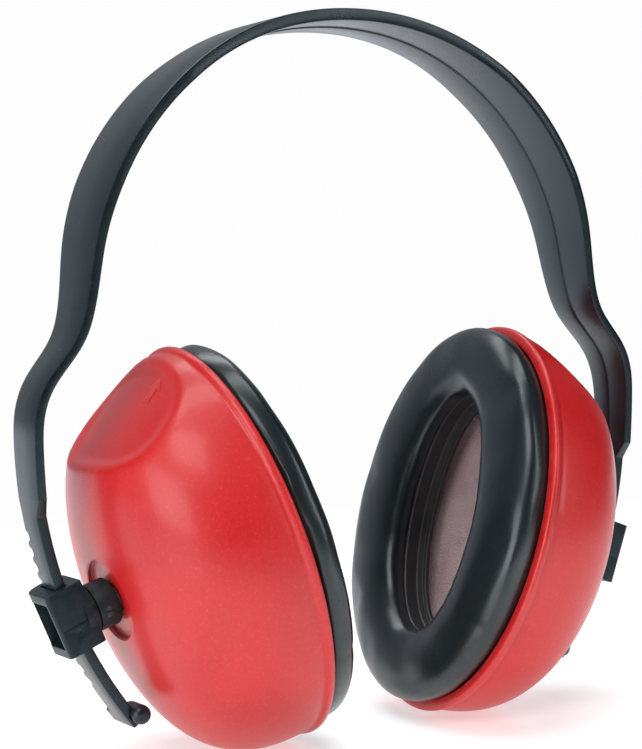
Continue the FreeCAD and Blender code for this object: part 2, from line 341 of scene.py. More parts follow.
def endStop(side):
    # the rounded cross bar and the flat tab at the tip of one arm
    place = armPlace(side)
    angle = band["armEndAngle"]
    barRadius = band["armRadius"] - band["sideThickness"] - 0.4
    radius, straight = band["stopRadius"], band["stopStraight"]
    length = band["stopRear"] - band["stopFront"]
    rings, ringCount, around = [], 13, 28
    for step in range(ringCount):
        along = step / (ringCount - 1)
        end = max(0.0, abs(along - 0.5) * 2 - straight) / (1 - straight)
        size = radius * sqrt(max(0.02, 1 - 0.75 * end * end))
        for cosine, sine in circle(around):
            reach = degrees(size * sine / barRadius)
            rings.append(place(barRadius + size * cosine, angle + reach,
                               band["stopFront"] + length * along))
    bar = makeMesh("bar", rings, ringFaces(ringCount, around, capped=True), 50)
    tabMiddle = (band["armFront"] + band["stopTabRear"]) / 2
    tabRadius = band["armRadius"] - band["sideThickness"] / 2

    def tabPlace(depth, sideways, along):
        return place(tabRadius + depth, angle + degrees(along / tabRadius), tabMiddle + sideways)
    tabSize = (band["sideThickness"], band["stopTabRear"] - band["armFront"], band["stopTabLength"])
    return bar, roundedBlock("tab", tabSize, tabPlace, 0.6)


def headband():
    stations = bandStations()
    points = []
    for station in stations:
        points += bandSection(*station)
    size = len(points) // len(stations)
    body = makeMesh("bandMoulding", points, ringFaces(len(stations), size, capped=True), 28)
    body = joinInto(body, *endStop("right"), *endStop("left"))
    return fitted(body, "band", "band_plastic", "headband")


# Slider blocks

block = {
    "angle": 21.6, "width": 10.6, "front": -5.7, "rear": 8.6, "length": 17.6, "bar": 2.4,
    "wall": 1.8, "clearance": 0.35, "rearRound": 3.8, "frontRound": 1.2, "windowDepth": 0.85,
    "edge": 0.45,
    "partingLevel": -1.4, "partingWidth": 0.16, "partingDepth": 0.12, "markLevel": -4.0,
    "markInner": 0.45, "markOuter": 0.95, "markDepth": 0.13,
}


def sliderPlace(side):
    # place(out, across, along) in millimetres from the middle of the block
    arm = armPlace(side)
    middle = band["armRadius"] - band["sideThickness"] / 2
    origin = arm(middle, block["angle"], 0)
    out = (origin - arm(0, 0, 0)).normalized()
    along = out.cross(across)
    if along.z < 0:
        along.negate()

    def place(outward, sideways, upward):
        return origin + (out * outward + across * sideways + along * upward) * mm
    return place


def sliderOutline():
    # the block's plan: a flat front, rounded corners behind
    half = block["width"] / 2
    outline = []
    front, rear, rearRound = block["front"], block["rear"], block["rearRound"]
    corners = [(half, front, -90, block["frontRound"], 4), (half, rear, 0, rearRound, 10),
               (-half, rear, 90, rearRound, 10), (-half, front, 180, 0.4, 3)]
    for x, y, start, radius, steps in corners:
        centreX = x - copysign(radius, x)
        centreY = y - radius if y > 0 else y + radius
        for step in range(steps + 1):
            turn = radians(start + 90 * step / steps)
            outline.append((centreX + radius * cos(turn), centreY + radius * sin(turn)))
    return outline


def boxCutter(place, low, high):
    points = [place(*corner) for corner in itertools.product(*zip(low, high))]
    faces = [(0, 1, 3, 2), (4, 6, 7, 5), (0, 4, 5, 1), (2, 3, 7, 6), (0, 2, 6, 4), (1, 5, 7, 3)]
    return makeMesh("cutter", points, faces)


def armChannel(side):
    # the space that the arm takes inside the block
    place = armPlace(side)
    clear = block["clearance"]
    inner = band["armRadius"] - band["sideThickness"] - clear
    outer = band["armRadius"] + clear
    front = band["armFront"] - clear
    rear = band["armRear"] + clear
    points = []
    steps = 17
    for step in range(steps):
        angle = block["angle"] - 8 + step
        for radius, sideways in ((inner, front), (outer, front), (outer, rear), (inner, rear)):
            points.append(place(radius, angle, sideways))
    return makeMesh("cutter", points, ringFaces(steps, 4, capped=True))


def sliderBlock(side):
    place = sliderPlace(side)
    half = block["length"] / 2
    outline = sliderOutline()
    points = [place(x, y, level) for level in (-half, half) for x, y in outline]
    body = makeMesh("sliderBlock_" + side, points, ringFaces(2, len(outline), capped=True))
    width, front, rear, wall = block["width"], block["front"], block["rear"], block["wall"]
    reach, parting = half - block["bar"], block["partingLevel"]
    window = boxCutter(place, (block["windowDepth"], front + wall, -reach),
                       (width, rear - wall, reach))
    line = boxCutter(place, (-width, front - 1, parting),
                     (width, front + block["partingDepth"], parting + block["partingWidth"]))
    cutAway(body, armChannel(side), window, line, markCutter(place))
    softenEdges(body, block["edge"] * mm, 3, 40)
    bakeModifiers(body)
    tidyMesh(body, 40)
    cup = cupPlace(side)
    low, radius, post = pivot["padLevel"], pivot["padRadius"], pivot["postRadius"]
    padTop, postLow, postTop = low + pivot["padHeight"], pivot["postLow"], low + 2
    pad = turned("pad", [(0.01, low), (radius - 0.5, low), (radius - 0.12, low + 0.12),
                         (radius, low + 0.5), (radius, padTop), (0.01, padTop)], cup)
    # the post has a groove for the tip of the lock pin
    groove, middle = pivot["grooveRadius"], low - pivot["pinDrop"]
    pinLow, pinHigh = middle - pivot["grooveHalf"], middle + pivot["grooveHalf"]
    profile = [(0.01, postLow), (post - 0.4, postLow), (post, postLow + 0.4), (post, pinLow),
               (groove, pinLow), (groove, pinHigh), (post, pinHigh), (post, postTop),
               (0.01, postTop)]
    body = joinInto(body, pad, turned("post", profile, cup, 48))
    return fitted(body, "slider_" + side, "slider_plastic", "slider_" + side)


def markCutter(place):
    # a shallow ring, left by the moulding pin
    inner, outer, depth = block["markInner"], block["markOuter"], block["markDepth"]
    front, middle = block["front"], block["markLevel"]
    points = [place(0.4 + radius * cosine, front + level, middle + radius * sine)
              for radius, level in ((inner, -0.2), (inner, depth), (outer, depth), (outer, -0.2))
              for cosine, sine in circle(24)]
    return makeMesh("cutter", points, ringFaces(4, 24, closed=True))


# Pivot collar and its lock pin

def pivotCollar(side):
    low, high, radius = pivot["stubLow"], pivot["stubHigh"], pivot["padRadius"]
    neck, bore, floorLevel = pivot["neckHole"], pivot["postHole"], pivot["stubLow"] + 1.2
    profile = [(neck, low), (radius - 0.7, low), (radius - 0.2, low + 0.15), (radius, low + 0.6),
               (radius, high - 0.45), (radius - 0.15, high - 0.1), (radius - 0.5, high),
               (bore, high), (bore, floorLevel), (neck, floorLevel)]
    collar = turned("pivotCollar_" + side, profile, cupPlace(side), 96)
    return fitted(collar, "stub_" + side, "pivot_plastic", "pivot_stub_" + side)


def lockPin(side):
    # the pin's oblong head on the front of the collar, with its shank
    cup = cupPlace(side)
    level = pivot["padLevel"] - pivot["pinDrop"]
    radius, thin = pivot["padRadius"], pivot["pinRadius"]

    def place(upward, sideways, outward):
        return cup(upward - pivot["pinHeadShift"], sideways - radius, level + outward)
    head = roundedBlock("lockPin_" + side, pivot["pinHead"], place, 0.28)
    points = [cup(thin * cosine, depth - radius, level + thin * sine)
              for depth in (-0.3, pivot["pinLength"]) for cosine, sine in circle(20)]
    shank = makeMesh("shank", points, ringFaces(2, 20, capped=True))
    return fitted(joinInto(head, shank), "stub_" + side, "pin_plastic", "lock_pin_" + side)


# Cup shells

shell = {
    "long": 55.4, "short": 42.1, "depth": 40.0, "depthPower": 3.0, "radiusPower": 2.4, "wall": 2.4,
    "spotRadius": 11.0, "throatRadius": 4.2, "seatRadius": 5.15, "count": 192,
    "scoopCentre": (45.0, 20.5), "scoopHalfLong": 18.2, "scoopHalfWide": 27.0, "scoopPower": 2.6,
    "scoopSlope": (0.57, -0.82), "scoopSag": 0.0048, "scoopSink": 1.5, "scoopEdge": 0.62,
    "domeStart": 3.9, "domeEnd": 0.985, "domeRings": 64, "innerEnd": 0.97, "innerRings": 16,
    "bossInner": 6.5, "bossOuter": 9.4, "bossLevel": 26.0, "bossTop": 37.0,
    "arrow": [(12.4, 0.0), (8.6, 3.9), (8.6, 1.4), (4.6, 1.4), (4.6, -1.4), (8.6, -1.4),
              (8.6, -3.9)],
    "arrowShift": 7.5, "arrowHeight": 0.22,
}


def domeHeight(upward, sideways, inset=0.0):
    rho = hypot(upward / (shell["long"] - inset), sideways / (shell["short"] - inset))
    return (shell["depth"] - inset) * max(0.0, 1 - rho ** shell["radiusPower"]) \
        ** (1 / shell["depthPower"])


def scooped(upward, sideways, outward, deeper=0.0):
    # press the scoop into the upper shoulder of the dome, or deeper for a surface inside it
    centreUp, centreOut = shell["scoopCentre"]
    slopeUp, slopeOut = shell["scoopSlope"]
    normalUp, normalOut = -slopeOut, slopeUp
    rise, reach = upward - centreUp, outward - centreOut
    along = rise * slopeUp + reach * slopeOut
    level = (abs(along) / shell["scoopHalfLong"]) ** shell["scoopPower"] \
        + (abs(sideways) / shell["scoopHalfWide"]) ** shell["scoopPower"]
    if level >= 1:
        return upward, sideways, outward
    above = rise * normalUp + reach * normalOut + shell["scoopSag"] * sideways ** 2
    above += shell["scoopSink"] + deeper
    mask = smoothStep(1 - level, 0.0, shell["scoopEdge"])
    push = max(0.0, above) * mask
    return upward - normalUp * push, sideways, outward - normalOut * push


def ovalRing(points, place, longHalf, shortHalf, level, count):
    points += [place(longHalf * cosine, shortHalf * sine, level) for cosine, sine in circle(count)]


def innerRing(points, place, turn, inset, count):
    # one ring of a surface that follows the dome from inside
    scale = cos(turn) ** (2 / shell["radiusPower"])
    level = (shell["depth"] - inset) * sin(turn) ** (2 / shell["depthPower"])
    longHalf, shortHalf = (shell["long"] - inset) * scale, (shell["short"] - inset) * scale
    points += [place(*scooped(longHalf * cosine, shortHalf * sine, level, inset))
               for cosine, sine in circle(count)]


def cupShell(side):
    place = cupPlace(side)
    count = shell["count"]
    longHalf, shortHalf = shell["long"], shell["short"]
    points = []
    # the lip at the rim: from the inside edge, over the bead, and the fine groove beside it
    lip = [(-2.4, 3.0), (-2.4, 0.5), (-2.0, 0.0), (-0.2, -0.05), (0.45, 0.1), (0.8, 0.5),
           (0.9, 1.1), (0.78, 1.8), (0.45, 2.3), (0.2, 2.55), (0.0, 2.9), (-0.12, 3.3)]
    for offset, level in lip:
        ovalRing(points, place, longHalf + offset, shortHalf + offset, level, count)
    # the dome, ring by ring, narrowing from the oval to the round flat
    steps = shell["domeRings"]
    first = asin((shell["domeStart"] / shell["depth"]) ** (shell["depthPower"] / 2))
    last = asin(shell["domeEnd"] ** (shell["depthPower"] / 2))
    for step in range(steps + 1):
        scale = cos(first + (last - first) * step / steps) ** (2 / shell["radiusPower"])
        for cosine, sine in circle(count):
            upward, sideways = longHalf * scale * cosine, shortHalf * scale * sine
            points.append(place(*scooped(upward, sideways, domeHeight(upward, sideways))))
    topScale = cos(last) ** (2 / shell["radiusPower"])
    spot, spotLevel, throat = shell["spotRadius"], pivot["spotLevel"], shell["throatRadius"]
    for share in (0.35, 0.7, 1.0):
        for cosine, sine in circle(count):
            upward = cosine * (longHalf * topScale * (1 - share) + (spot + 0.5) * share)
            sideways = sine * (shortHalf * topScale * (1 - share) + (spot + 0.5) * share)
            points.append(place(upward, sideways, domeHeight(upward, sideways)))
    # the round recess, the throat and the ball's seat, then the boss inside
    top = domeHeight(0, spot)
    seatRadius, ballLevel = shell["seatRadius"], pivot["ballLevel"]
    turns = [acos(throat / seatRadius) * share / 5 for share in (5, 4, 3, 2, 1, 0)]
    seat = [(seatRadius * cos(turn), ballLevel + seatRadius * sin(turn)) for turn in turns]
    inner, outer, low = shell["bossInner"], shell["bossOuter"], shell["bossLevel"]
    profile = [(spot + 0.12, top - 0.12), (spot, top - 0.4), (spot, spotLevel + 0.25),
               (spot - 0.25, spotLevel), (spot - 3, spotLevel), (throat + 0.3, spotLevel),
               (throat, spotLevel - 0.3), (throat, spotLevel - 3.4), *seat,
               (inner, ballLevel - 0.1), (inner, low), (outer, low), (outer, shell["bossTop"])]
    for radius, level in profile:
        ovalRing(points, place, radius, radius, level, count)
    # the inner wall, back down to the rim
    inset, steps = shell["wall"], shell["innerRings"]
    for step in range(steps):
        innerRing(points, place, asin(shell["innerEnd"]) * (1 - step / steps), inset, count)
    faces = ringFaces(len(points) // count, count, closed=True)
    cup = joinInto(makeMesh("cupShell_" + side, points, faces, 38), scoopMark(side))
    return fitted(cup, "cup_" + side, "cup_plastic", "cup_shell_" + side)


def scoopMark(side):
    # a small raised arrow on the scoop's floor, pointing to the top of the cup
    place = cupPlace(side)
    slopeUp, slopeOut = shell["scoopSlope"]
    centreUp, centreOut = shell["scoopCentre"]
    outline = shell["arrow"]

    def onFloor(along, sideways, lift):
        sideways -= shell["arrowShift"]
        sink = lift - shell["scoopSink"] - shell["scoopSag"] * sideways ** 2
        return place(centreUp + slopeUp * along - slopeOut * sink, sideways,
                     centreOut + slopeOut * along + slopeUp * sink)
    points = [onFloor(along, sideways, lift) for lift in (-0.3, shell["arrowHeight"])
              for along, sideways in outline]
    mark = makeMesh("mark", points, ringFaces(2, len(outline), capped=True))
    softenEdges(mark, 0.09 * mm, 2, 40)
    bakeModifiers(mark)
    tidyMesh(mark, 40)
    return mark


# Foam liner: a block of open foam with a dished face towards the ear

liner = {
    "inset": 2.9, "front": 3.0, "dishLong": 40.4, "dishShort": 29.1, "dishDepth": 9.0,
    "dishPower": 2.4, "dishRound": 0.42, "lump": 0.35, "lumpScale": 0.16,
    "wallRings": 20, "wallTurn": 1.25, "dishRings": 34, "count": 120,
}


def foamLiner(side):
    place = cupPlace(side)
    count, inset, front = liner["count"], liner["inset"], liner["front"]
    points = []
    first = asin((front / shell["depth"]) ** (shell["depthPower"] / 2))
    # the outer wall runs up to the crown, then the dish runs from the middle to the front edge
    for step in range(liner["wallRings"]):
        turn = first + liner["wallTurn"] * step / (liner["wallRings"] - 1)
        innerRing(points, place, turn, inset, count)
    shares = [(step + 1) / liner["dishRings"] for step in range(liner["dishRings"])]
    depths = [max(0.0, 1 - share ** liner["dishPower"]) ** liner["dishRound"] for share in shares]
    dish = [(share * liner["dishLong"], share * liner["dishShort"], front + liner["dishDepth"] * depth)
            for share, depth in zip(shares, depths)]
    dish += [(liner["dishLong"] + 1.2, liner["dishShort"] + 1.2, front - 0.25),
             (shell["long"] - inset - 1.5, shell["short"] - inset - 1.5, front - 0.2)]
    for dishLong, dishShort, level in dish:
        for cosine, sine in circle(count):
            where = Vector((dishLong * cosine, dishShort * sine, level))
            lump = liner["lump"] * noise.fractal(where * liner["lumpScale"], 1.0, 2.0, 3)
            points.append(place(where.x, where.y, where.z + lump))
    faces = ringFaces(len(points) // count, count, closed=True)
    obj = makeMesh("foamLiner_" + side, points, faces, 70)
    fitted(obj, "cup_" + side, "liner_foam", "foam_liner_" + side)
    return obj


# Cushion plate: the stiff oval ring that clips into the rim and carries the cushion

plate = {
    "long": 52.8, "short": 39.8, "holeLong": 33.7, "holeShort": 17.2, "collarWall": 1.6,
    "collarLevel": 4.0, "skirtInset": 3.3, "skirtWall": 1.8, "skirtTop": 2.4, "under": -1.6,
    "count": 160,
}


def cushionPlate(side):
    place = cupPlace(side)
    long, short, count = plate["long"], plate["short"], plate["count"]
    wall, top, under = plate["collarWall"], plate["collarLevel"], plate["under"]
    skirtWall, skirtTop, inset = plate["skirtWall"], plate["skirtTop"], plate["skirtInset"]
    # pairs of (offset, level): the plate's edge, up and down the skirt, over the stepped collar
    edge = [(-0.3, under), (0, under + 0.3), (0, -0.25), (-0.2, 0.0)]
    skirt = [(0, 0.05), (0, skirtTop - 0.2), (-0.3, skirtTop), (-skirtWall, skirtTop),
             (-skirtWall, 0.3), (-skirtWall - 0.2, 0.0)]
    collar = [(wall + 0.3, 0.0), (wall, 0.3), (wall, top - 0.4), (wall - 0.4, top), (-0.5, top),
              (-0.9, top - 0.3), (-0.9, top - 1.3), (-0.6, top - 1.6), (0.0, top - 1.7),
              (0.25, top - 2.0), (0.25, top - 3.4), (0.5, top - 3.7), (0.8, top - 3.8),
              (0.9, top - 4.1), (0.9, -3.2), (1.2, -3.5), (2.2, -3.5), (2.6, -3.1), (2.6, under)]
    points = []
    for longHalf, shortHalf, loops in ((long, short, edge),
                                       (shell["long"] - inset, shell["short"] - inset, skirt),
                                       (plate["holeLong"], plate["holeShort"], collar)):
        for offset, level in loops:
            ovalRing(points, place, longHalf + offset, shortHalf + offset, level, count)
    faces = ringFaces(len(points) // count, count, closed=True)
    obj = makeMesh("cushionPlate_" + side, points, faces, 40)
    return fitted(obj, "cup_" + side, "plate_plastic", "cushion_plate_" + side)


# Cushion: a soft ring in a vinyl skin, blown up with cloth pressure and held at the plate

cushion = {
    "outerLong": 54.2, "outerShort": 41.2, "holeLong": 34.5, "holeShort": 18.6,
    "top": -0.15, "bottom": -10.7,
    "squareness": 2.2, "backSquareness": 4.5, "tuck": 0.02, "slack": 0.004, "pressure": 4.0,
    "mostMovement": 0.7, "simSteps": 20, "lump": 0.3, "lumpScale": 0.11, "heldFrom": 0.86,
    "around": 168, "across": 32, "seamTurn": 236, "seamShare": 0.22 / 9, "seed": 7,
}


def cushionPoint(place, around, section, seam=0.0):
    # one point of the ring: around the oval, then round its cross-section
    power = 2 / cushion["backSquareness" if sin(section) > 0 else "squareness"]
    wide = copysign(abs(cos(section)) ** power, cos(section))
    deep = copysign(abs(sin(section)) ** power, sin(section))
    tucked = wide * (1 - cushion["tuck"] * max(0.0, deep) ** 2) * (1 - seam)
    ends = (("outerLong", "holeLong"), ("outerShort", "holeShort"), ("top", "bottom"))
    (longHalf, longReach), (shortHalf, shortReach), (level, levelReach) = (
        ((cushion[high] + cushion[low]) / 2, (cushion[high] - cushion[low]) / 2)
        for high, low in ends)
    level += deep * levelReach * (1 - seam)
    bump = 0.0
    if deep < 0.8:
        where = Vector((longHalf * cos(around), shortHalf * sin(around), level))
        where *= cushion["lumpScale"]
        bump = cushion["lump"] * noise.noise(where + Vector((cushion["seed"], deep, wide)))
    return place((longHalf + tucked * longReach + bump * wide) * cos(around),
                 (shortHalf + tucked * shortReach + bump * wide) * sin(around),
                 level + bump * deep)


def simulateCushion(obj, pinned):
    group = obj.vertex_groups.new(name="held")
    group.add(pinned, 1.0, "REPLACE")
    cloth = obj.modifiers.new("blowUp", "CLOTH")
    settings = cloth.settings
    settings.quality = 8
    settings.mass = 0.25
    settings.tension_stiffness = 18
    settings.compression_stiffness = 12
    settings.bending_stiffness = 0.35
    settings.shrink_min = -cushion["slack"]
    settings.use_pressure = True
    settings.uniform_pressure_force = cushion["pressure"]
    settings.vertex_group_mass = "held"
    settings.effector_weights.gravity = 0
    cloth.collision_settings.use_collision = False
    cloth.point_cache.frame_start = 1
    cloth.point_cache.frame_end = cushion["simSteps"]
    before = np.array([vertex.co for vertex in obj.data.vertices])
    for step in range(1, cushion["simSteps"] + 1):
        bpy.context.scene.frame_set(step)
    depsgraph = bpy.context.evaluated_depsgraph_get()
    after = np.array([vertex.co for vertex in obj.evaluated_get(depsgraph).data.vertices])
    obj.modifiers.clear()
    moved = after - before
    length = np.linalg.norm(moved, axis=1, keepdims=True)
    most = cushion["mostMovement"] * mm
    moved *= np.minimum(1, most * np.tanh(length / most) / np.maximum(length, 1e-9))
    obj.data.vertices.foreach_set("co", (before + moved).astype(np.float32).ravel())
    obj.data.update()
    bpy.context.scene.frame_set(1)


def cushionRing():
    place = cupPlace("right")
    points, pinned = [], []
    aroundCount, acrossCount = cushion["around"], cushion["across"]
    seamIndex = round(cushion["seamTurn"] / 360 * aroundCount)
    for ring in range(aroundCount):
        seam = cushion["seamShare"] if ring == seamIndex else 0.0
        for index in range(acrossCount):
            section = 2 * pi * index / acrossCount
            if sin(section) > cushion["heldFrom"]:
                pinned.append(len(points))
            points.append(cushionPoint(place, 2 * pi * ring / aroundCount, section, seam))
    ring = makeMesh("cushion_right", points, ringFaces(aroundCount, acrossCount, closed=True), 180)
    simulateCushion(ring, pinned)
    return ring


def cushions():
    right = cushionRing()
    left = addObject("cushion_left", right.data.copy())
    left.data.transform(Matrix.Scale(-1, 4, (1, 0, 0)))
    for side, obj in (("right", right), ("left", left)):
        tidyMesh(obj, 180)
        smooth = obj.modifiers.new("smooth", "SUBSURF")
        smooth.levels = smooth.render_levels = 1
        fitted(obj, "cup_" + side, "cushion_vinyl", "cushion_skin_" + side, "cushion_foam_" + side)
    return [right, left]


# Shared surface effects: node groups that give values, never shaders

def makeGroup(name, given, *results):
    group = bpy.data.node_groups.new(name, "ShaderNodeTree")
    for label, value in given.items():
        socket = group.interface.new_socket(label, in_out="INPUT", socket_type="NodeSocketFloat")
        socket.default_value = value
    for label in results:
        group.interface.new_socket(label, in_out="OUTPUT", socket_type="NodeSocketFloat")
    return group, group.nodes.new("NodeGroupInput").outputs, group.nodes.new("NodeGroupOutput").inputs


def addNode(tree, kind, **settings):
    node = tree.nodes.new("ShaderNode" + kind)
    for name, value in settings.items():
        setattr(node, name, value)
    return node


def feed(tree, socket, value):
    if isinstance(value, bpy.types.NodeSocket):
        tree.links.new(value, socket)
    else:
        socket.default_value = value


def calc(tree, operation, first, second=0.0, third=0.0):
    node = addNode(tree, "Math", operation=operation)
    for socket, value in zip(node.inputs, (first, second, third)):
        feed(tree, socket, value)
    return node.outputs[0]


def times(tree, first, second):
    return calc(tree, "MULTIPLY", first, second)


def ranged(tree, value, low, high, toLow=0.0, toHigh=1.0):
    node = addNode(tree, "MapRange", interpolation_type="SMOOTHSTEP")
    for socket, part in zip(node.inputs, (value, low, high, toLow, toHigh)):
        feed(tree, socket, part)
    return node.outputs[0]


def feedAll(tree, node, **values):
    # an underscore in a name stands for a space in the socket's name
    for label, value in values.items():
        feed(tree, node.inputs[label.replace("_", " ")], value)
    return node.outputs


def inMillimetres(tree, stretch=(1, 1, 1)):
    scaled = addNode(tree, "VectorMath", operation="MULTIPLY")
    tree.links.new(addNode(tree, "TexCoord").outputs["Object"], scaled.inputs[0])
    scaled.inputs[1].default_value = [1000 * part for part in stretch]
    return scaled.outputs[0]


def noiseOf(tree, place, scale, detail=3.0, roughness=0.55, distortion=0.0):
    return feedAll(tree, addNode(tree, "TexNoise"), Vector=place, Scale=scale, Detail=detail,
                   Roughness=roughness, Distortion=distortion)["Fac"]


def cellsOf(tree, place, scale, feature="F1"):
    node = addNode(tree, "TexVoronoi", feature=feature)
    return feedAll(tree, node, Vector=place, Scale=scale)["Distance"]


def mixColours(tree, share, *colours):
    # each of the two colours is a socket or three numbers
    node = addNode(tree, "Mix", data_type="RGBA")
    feed(tree, node.inputs[0], share)
    for socket, colour in zip((node.inputs[6], node.inputs[7]), colours):
        feed(tree, socket, colour if isinstance(colour, bpy.types.NodeSocket) else (*colour, 1))
    return node.outputs[2]


def mouldedGrainGroup():
    # fine pits from the mould and broad slow flow of the plastic
    group, given, result = makeGroup("mouldedGrain", {"Grain Size": 4.0, "Flow Size": 0.06},
                                     "Grain Height", "Flow")
    place = inMillimetres(group)
    fine = noiseOf(group, place, given["Grain Size"], 2.0, 0.7)
    coarse = noiseOf(group, place, times(group, given["Grain Size"], 0.32), 1.0)
    height = calc(group, "ADD", times(group, fine, 0.7), times(group, coarse, 0.3))
    group.links.new(height, result["Grain Height"])
    flow = noiseOf(group, place, given["Flow Size"], 2.0, 0.5, 0.6)
    group.links.new(ranged(group, flow, 0.3, 0.7), result["Flow"])
    return group


def wearAndShadeGroup():
    # worn corners, concave places for painted shade, finger smears and dust, each as a mask from 0 to
    # 1
    group, given, result = makeGroup("wearAndShade", {"Amount": 0.5}, "Edges", "Hollows", "Smears", "Dust")
    place = inMillimetres(group)
    shape = addNode(group, "NewGeometry").outputs["Pointiness"]
    patchy = ranged(group, noiseOf(group, place, 0.35, 4.0, 0.65), 0.35, 0.65)
    edges = times(group, ranged(group, shape, 0.515, 0.58), patchy)
    group.links.new(times(group, edges, given["Amount"]), result["Edges"])
    # concave places: this mask carries painted shade in the colour and also raises the roughness
    group.links.new(ranged(group, shape, 0.49, 0.43), result["Hollows"])
    streaked = inMillimetres(group, (0.6, 1, 0.35))
    smears = ranged(group, noiseOf(group, streaked, 0.09, 5.0, 0.62, 1.4), 0.48, 0.74)
    group.links.new(times(group, smears, given["Amount"]), result["Smears"])
    specks = ranged(group, cellsOf(group, place, 0.42), 0.085, 0.03)
    few = ranged(group, noiseOf(group, place, 0.16, 2.0), 0.56, 0.66)
    group.links.new(times(group, times(group, specks, few), given["Amount"]), result["Dust"])
    return group


def creasesGroup():
    # shallow folds, the fine grain of the vinyl, and where the skin is stretched smooth
    group, given, result = makeGroup("creases", {"Fold Size": 0.12, "Grain Size": 2.2},
                                     "Folds", "Grain", "Stretched")
    place = inMillimetres(group)
    wander = feedAll(group, addNode(group, "TexNoise"), Vector=place, Scale=0.07)
    moved = addNode(group, "VectorMath", operation="MULTIPLY_ADD")
    group.links.new(wander["Color"], moved.inputs[0])
    moved.inputs[1].default_value = (14, 14, 14)
    group.links.new(place, moved.inputs[2])
    folds = cellsOf(group, moved.outputs[0], given["Fold Size"], "DISTANCE_TO_EDGE")
    group.links.new(ranged(group, folds, 0.0, 0.16), result["Folds"])
    pebbles = cellsOf(group, place, given["Grain Size"])
    group.links.new(calc(group, "POWER", pebbles, 1.6), result["Grain"])
    group.links.new(ranged(group, noiseOf(group, place, 0.05, 3.0), 0.35, 0.65), result["Stretched"])
    return group


def openCellsGroup():
    # the pores of open foam in two sizes, and a mask for painted shade in the pores
    group, given, result = makeGroup("openCells", {"Cell Size": 1.6}, "Height", "Pore Shade")
    place = inMillimetres(group)
    large = cellsOf(group, place, given["Cell Size"])
    small = cellsOf(group, place, times(group, given["Cell Size"], 2.3))
    height = calc(group, "ADD", times(group, large, 0.65), times(group, small, 0.35))
    group.links.new(height, result["Height"])
    group.links.new(ranged(group, large, 0.34, 0.1), result["Pore Shade"])
    return group


groups = {"grain": mouldedGrainGroup(), "wearAndShade": wearAndShadeGroup(), "creases": creasesGroup(),
          "cells": openCellsGroup()}


def useGroup(tree, name, **values):
    return feedAll(tree, addNode(tree, "Group", node_tree=groups[name]), **values)


def startMaterial(name):
    material = bpy.data.materials.new(name)
    material.use_nodes = True
    tree = material.node_tree
    return material, tree, tree.nodes["Principled BSDF"]


def bumped(tree, height, strength, distance, **before):
    return feedAll(tree, addNode(tree, "Bump"), Height=height, Strength=strength,
                   Distance=distance * mm, **before)["Normal"]


def mouldedPlastic(name, look):
    # one recipe for the moulded plastics, each with its own colours, grain, wear and painted shade in
    # concave places
    look = {**plain, **look}
    material, tree, shader = startMaterial(name)
    grain = useGroup(tree, "grain", Grain_Size=look["grain"], Flow_Size=look["flow"])
    wearAndShadeMasks = useGroup(tree, "wearAndShade", Amount=look["wear"])
    speckle = ranged(tree, grain["Grain Height"], 0.52, 0.68)
    speckle = times(tree, speckle, look["speckle"])
    # painted shade: a darker tone in concave places, where shade falls
    paintedShade = times(tree, wearAndShadeMasks["Hollows"], 0.6)
    colour = mixColours(tree, grain["Flow"], look["dark"], look["light"])
    for share, tone in ((speckle, look["worn"]), (wearAndShadeMasks["Edges"], look["worn"]),
                        (paintedShade, look["shadeTone"]), (wearAndShadeMasks["Dust"], dustGrey)):
        colour = mixColours(tree, share, colour, tone)
    rough = calc(tree, "MULTIPLY_ADD", grain["Flow"], look["flowRoughness"], look["roughness"])
    rough = calc(tree, "SUBTRACT", rough, times(tree, wearAndShadeMasks["Smears"], look["smearShine"]))
    rough = calc(tree, "MULTIPLY_ADD", wearAndShadeMasks["Hollows"], 0.08, rough)
    feedAll(tree, shader, Base_Color=colour, Roughness=rough, IOR=look["ior"],
            Specular_Tint=(*look["shine"], 1),
            Normal=bumped(tree, grain["Grain Height"], look["grainStrength"], look["grainDepth"]))
    return material, tree, shader


